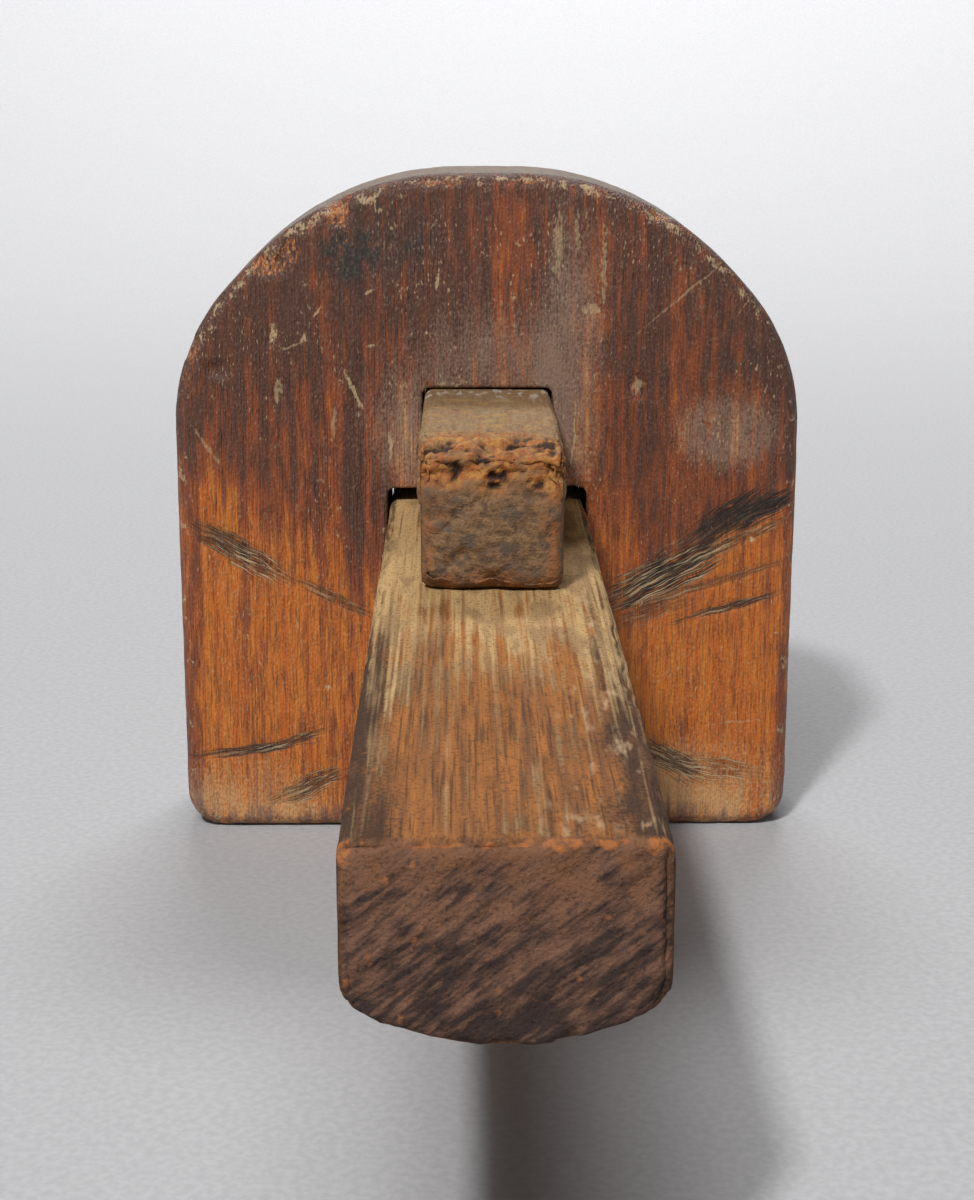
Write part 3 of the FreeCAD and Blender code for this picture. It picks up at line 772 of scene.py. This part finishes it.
def make_wedge():
    """The locking wedge. Mallet blows have crushed the top of its butt and spread its sides."""
    piece = even_copy("locking_wedge", WEDGE_VOXEL)
    points = vertex_array(piece.data) / MM
    edge = edge_strength(piece, 1.4, WEDGE_VOXEL)
    near = ramp(points[:, 1], WEDGE_BUTT + 26, WEDGE_BUTT + 6)
    butt = ramp(points[:, 1], WEDGE_BUTT + 13, WEDGE_BUTT + 4)
    high = ramp(points[:, 2] + 1.8 * noise(points, 2.4, seed=54), BEAM_TOP + 9.6, BEAM_TOP + 12.2)
    mushroom = ramp(points[:, 2], BEAM_TOP + 10.5, BEAM_TOP + 7.5)
    beside = ramp(np.abs(points[:, 0]), WEDGE_HIGH[0] - 0.8, WEDGE_HIGH[0] - 0.3)
    lumps = rough_noise(points, (1.3, 1.3, 1.0), seed=53, octaves=4)
    crushed = butt * high
    depth = 0.08 + 0.08 * noise(points, (5, 14, 5), seed=51)
    depth += near * rounding_depth(points, WEDGE_LOW, WEDGE_HIGH, BUTT_ROUNDING)
    depth += near * beside * mushroom * 0.55
    depth += near * 0.75 * np.maximum(rough_noise(points, (3.2, 2.4, 2.4), seed=55), -0.4)
    depth += near * 0.22 * rough_noise(points, (0.9, 0.9, 0.7), seed=57)
    depth += 0.4 * ramp(edge, 0.1, 0.9) * (0.5 + 0.5 * rough_noise(points, 2.5, seed=52))
    depth += crushed * (0.35 + 0.85 * np.maximum(lumps, -0.3))
    wear(piece, "locking_wedge", depth)
    from_side = WEDGE_HIGH[0] - np.abs(points[:, 0])
    rim = np.minimum(from_side, points[:, 2] - WEDGE_LOW[2])
    paint(piece, "crushed", crushed)
    paint(piece, "pit", crushed * ramp(lumps, 0.06, 0.34))
    paint(piece, "end", ramp(points[:, 1], WEDGE_BUTT + 2.6, WEDGE_BUTT + 1.2))
    paint(piece, "rim", ramp(rim + 1.2 * noise(points, 2.5, seed=56), 3.6, 1.2))
    # Near and just inside the slot; the material paints the wedge darker there as painted shade.
    paint(piece, "by_slot", ramp(points[:, 1], FRONT_FACE - 13, FRONT_FACE - 5)
          * ramp(points[:, 1], FRONT_FACE + 14, FRONT_FACE + 4))
    hand_over(piece, "locking_wedge", wedge_material())


def wedge_material():
    """Grey-brown wood, a mottled end with a rusty rim, and an amber crushed band with pits."""
    g = Graph("wedge_wood", specular=0.25)
    fibre = g.noise((0.5, 6.0, 0.5), detail=3.0)
    blotch = g.noise((2.4, 2.4, 2.0), detail=4.0)
    speckle = g.noise((0.28, 0.28, 0.28), detail=3.0)
    lines = g.noise((4.0, 4.0, 0.3), detail=3.0)
    mottle = g.noise((0.9, 0.9, 0.8), detail=3.0)
    colour = g.mix(g.window(fibre, 0.38, 0.62), WEDGE_SIDE, WEDGE_BROWN)
    colour = g.mix(g.window(blotch, 0.50, 0.66, 0.6), colour, WEDGE_OCHRE)
    flaked = g.noise((1.2, 4.5, 1.2), detail=4.0)
    flakes = g.times(g.attribute("by_slot"), g.window(flaked, 0.52, 0.62, 0.8))
    # Painted shade: the wedge is darker where it runs into the slot.
    colour = g.mix(g.times(g.attribute("by_slot"), 0.3), colour, WEDGE_DARK)
    colour = g.mix(flakes, colour, WEDGE_GREY)
    worn = g.sum_of(g.times(lines, 0.25), g.times(mottle, 0.75))
    end_colour = g.mix(g.window(worn, 0.38, 0.62), WEDGE_DARK, WEDGE_END_LIGHT)
    end_colour = g.mix(g.window(blotch, 0.52, 0.64, 0.75), end_colour, WEDGE_END_GREY)
    rim = g.sum_of(g.attribute("rim"), g.spread(mottle, 1.2))
    rust = g.mix(g.window(blotch, 0.42, 0.58), WEDGE_RUST, WEDGE_OLD_RUST)
    end_colour = g.mix(g.window(rim, 0.35, 1.2, 0.85), end_colour, rust)
    colour = g.mix(g.attribute("end"), colour, end_colour)
    crushed_colour = g.mix(g.window(mottle, 0.40, 0.54), WEDGE_AMBER, WEDGE_ORANGE)
    crushed_colour = g.mix(g.window(blotch, 0.50, 0.62, 0.7), crushed_colour, WEDGE_BROWN)
    colour = g.mix(g.times(g.attribute("crushed"), 0.9), colour, crushed_colour)
    colour = g.mix(g.window(mottle, 0.56, 0.70, 0.55), colour, WEDGE_DARK)
    colour = g.mix(g.attribute("pit"), colour, WEDGE_PIT)
    colour = g.mix(g.window(speckle, 0.52, 0.72, 0.6), colour, WEDGE_DARK)
    relief = g.sum_of(g.times(blotch, 0.4), g.times(speckle, 0.3), g.times(mottle, 0.5))
    roughness = g.sum_of(g.times(speckle, 0.2), 0.66)
    return g.finish(colour, roughness, g.bump(relief, 0.55))


# ---------------------------------------------------------------- knife and its wedge

KNIFE_VOXEL = 0.2
STEEL = (0.16, 0.15, 0.145)
GROUND_STEEL = (0.42, 0.41, 0.40)
RUST = (0.12, 0.055, 0.03)
YOUNG_WOOD = (0.30, 0.17, 0.07)


def make_knife():
    """The flat blade, its head rounded by taps and its point ground bright."""
    piece = even_copy("marking_knife", KNIFE_VOXEL)
    points = vertex_array(piece.data) / MM
    edge = edge_strength(piece, 0.8, KNIFE_VOXEL)
    head = ramp(points[:, 2], KNIFE_HIGH[2] - 2.5, KNIFE_HIGH[2])
    depth = 0.02 + 0.02 * noise(points, 3, seed=61)
    depth += head * ramp(edge, 0, 1) * (0.25 + 0.15 * noise(points, 1.2, seed=62))
    wear(piece, "marking_knife", depth)
    paint(piece, "edge", edge)
    paint(piece, "ground", ramp(points[:, 2], KNIFE_LOW[2] + 5.4, KNIFE_LOW[2] + 4.6))
    hand_over(piece, "marking_knife", steel_material())


def steel_material():
    """Dark steel with rust, bright where it is ground and on its edges."""
    g = Graph("knife_steel")
    blotch = g.noise((1.8, 1.8, 2.6), detail=4.0)
    lines = g.noise((0.12, 0.12, 4.0), detail=1.0)
    colour = g.mix(g.window(blotch, 0.42, 0.62), STEEL, RUST)
    colour = g.mix(g.attribute("ground"), colour, GROUND_STEEL)
    colour = g.mix(g.window(g.attribute("edge"), 0.3, 0.9, 0.5), colour, GROUND_STEEL)
    roughness = g.sum_of(g.times(blotch, 0.5), 0.15)
    g.shader.inputs["Metallic"].default_value = 0.85
    return g.finish(colour, roughness, g.bump(g.sum_of(g.times(blotch, 0.6), lines), 0.05))


def make_knife_wedge():
    """The small wedge that holds the knife in the beam."""
    piece = even_copy("knife_wedge", KNIFE_VOXEL)
    points = vertex_array(piece.data) / MM
    edge = edge_strength(piece, 0.8, KNIFE_VOXEL)
    depth = 0.03 + 0.03 * noise(points, 4, seed=71)
    depth += 0.18 * ramp(edge, 0.1, 0.9) * (0.7 + 0.5 * noise(points, 1.5, seed=72))
    wear(piece, "knife_wedge", depth)
    paint(piece, "edge", edge)
    hand_over(piece, "knife_wedge", knife_wedge_material())


def knife_wedge_material():
    """Plain wood, paler than the rest and dark only in its pores."""
    g = Graph("knife_wedge_wood")
    fibre = g.noise((0.4, 0.4, 6.0), detail=3.0)
    speckle = g.noise((0.3, 0.3, 0.5), detail=2.0)
    colour = g.mix(g.window(fibre, 0.3, 0.7), YOUNG_WOOD, WEDGE_BROWN)
    colour = g.mix(g.window(speckle, 0.5, 0.8, 0.6), colour, BEAM_DARK)
    colour = g.mix(g.window(g.attribute("edge"), 0.2, 0.9, 0.5), colour, BEAM_RIM)
    return g.finish(colour, 0.6, g.bump(fibre, 0.1))


# ---------------------------------------------------------------- stage, lights and camera

FLOOR_RADIUS = 450
SWEEP_REACH = 1350
SWEEP_HEIGHT = 1100
SWEEP_POWER = 2.6
STAGE_TURNS = 96
STAGE_STEPS = 40
PAPER_DARK = (0.395, 0.395, 0.405)
PAPER_LIGHT = (0.445, 0.445, 0.455)
AIR_LIGHT = 0.02


def stage_profile():
    """Distance from the middle and height at each step of a floor that sweeps up into a wall."""
    shares = [step / STAGE_STEPS for step in range(STAGE_STEPS + 1)]
    sweep = [(FLOOR_RADIUS + SWEEP_REACH * share, SWEEP_HEIGHT * share ** SWEEP_POWER)
             for share in shares]
    return [(0.0, 0.0)] + sweep


def stage_ring(build, distance, height):
    """Vertices of one circle of the stage, or its single middle vertex."""
    if distance == 0:
        return [build.verts.new((0, 0, 0))]
    angles = [2 * math.pi * k / STAGE_TURNS for k in range(STAGE_TURNS)]
    return [build.verts.new((distance * math.cos(angle) * MM,
                             distance * math.sin(angle) * MM,
                             height * MM)) for angle in angles]


def make_stage():
    """A pale paper floor that curves up all round."""
    mesh = bpy.data.meshes.new("stage")
    build = bmesh.new()
    rings = [stage_ring(build, distance, height) for distance, height in stage_profile()]
    for inner, outer in itertools.pairwise(rings):
        for k in range(STAGE_TURNS):
            following = (k + 1) % STAGE_TURNS
            if len(inner) == 1:
                build.faces.new((inner[0], outer[k], outer[following]))
            else:
                build.faces.new((inner[k], outer[k], outer[following], inner[following]))
    build.to_mesh(mesh)
    build.free()
    mesh.shade_smooth()
    stage = bpy.data.objects.new("stage", mesh)
    bpy.context.scene.collection.objects.link(stage)
    g = Graph("stage_paper")
    grain = g.noise((0.9, 0.9, 0.9), detail=3.0)
    colour = g.mix(g.window(grain, 0.3, 0.7), PAPER_DARK, PAPER_LIGHT)
    mesh.materials.append(g.finish(colour, 0.9))


def add_light(name, place, aim, size, power):
    """A round soft light. Places are in millimetres and power is in watts."""
    lamp = bpy.data.lights.new(name, "AREA")
    lamp.shape = "DISK"
    lamp.size = size * MM
    lamp.energy = power
    holder = bpy.data.objects.new(name, lamp)
    bpy.context.scene.collection.objects.link(holder)
    start, end = np.array(place) * MM, np.array(aim) * MM
    holder.location = start
    holder.rotation_euler = direction_angles(end - start)
    holder.visible_camera = False


def direction_angles(direction):
    """The turn that points an object's -Z axis along the direction, with its Y axis upwards."""
    flat = math.hypot(direction[0], direction[1])
    pitch = math.atan2(direction[2], flat)
    heading = math.atan2(-direction[0], direction[1])
    return (math.pi / 2 + pitch, 0, heading)


def make_lights():
    """A key light and a wide fill from the front left, and one light for the wall behind."""
    add_light("key", (-330, -860, 1030), (0, -30, 40), 120, 12.6)
    add_light("fill", (-240, -760, 1060), (0, -30, 30), 480, 4.6)
    add_light("backdrop", (60, 850, 1200), (60, 1450, 0), 700, 25.0)
    world = bpy.data.worlds.new("air")
    world.use_nodes = True
    background = world.node_tree.nodes["Background"]
    background.inputs["Color"].default_value = (1, 1, 1, 1)
    background.inputs["Strength"].default_value = AIR_LIGHT
    bpy.context.scene.world = world
    bpy.context.scene.view_settings.view_transform = "Standard"


# Where the camera stands, and how many degrees it looks down and to the right.
CAMERA_PLACE = (-3.1, -278.1, 100.2)
CAMERA_DOWN = 14.39
CAMERA_RIGHT = 0.66
CAMERA_LENS = 63.8
CAMERA_SENSOR = 36
CAMERA_NEAR = 0.01


def make_camera():
    """The photograph's view, close to the beam's near end and a little above it."""
    lens = bpy.data.cameras.new("camera")
    lens.lens = CAMERA_LENS
    lens.sensor_width = CAMERA_SENSOR
    lens.clip_start = CAMERA_NEAR
    holder = bpy.data.objects.new("camera", lens)
    bpy.context.scene.collection.objects.link(holder)
    holder.location = np.array(CAMERA_PLACE) * MM
    holder.rotation_euler = (math.radians(90 - CAMERA_DOWN), 0, -math.radians(CAMERA_RIGHT))
    bpy.context.scene.camera = holder


# ---------------------------------------------------------------- everything together

make_fence()
make_beam()
make_wedge()
make_knife()
make_knife_wedge()
make_stage()
make_lights()
make_camera()
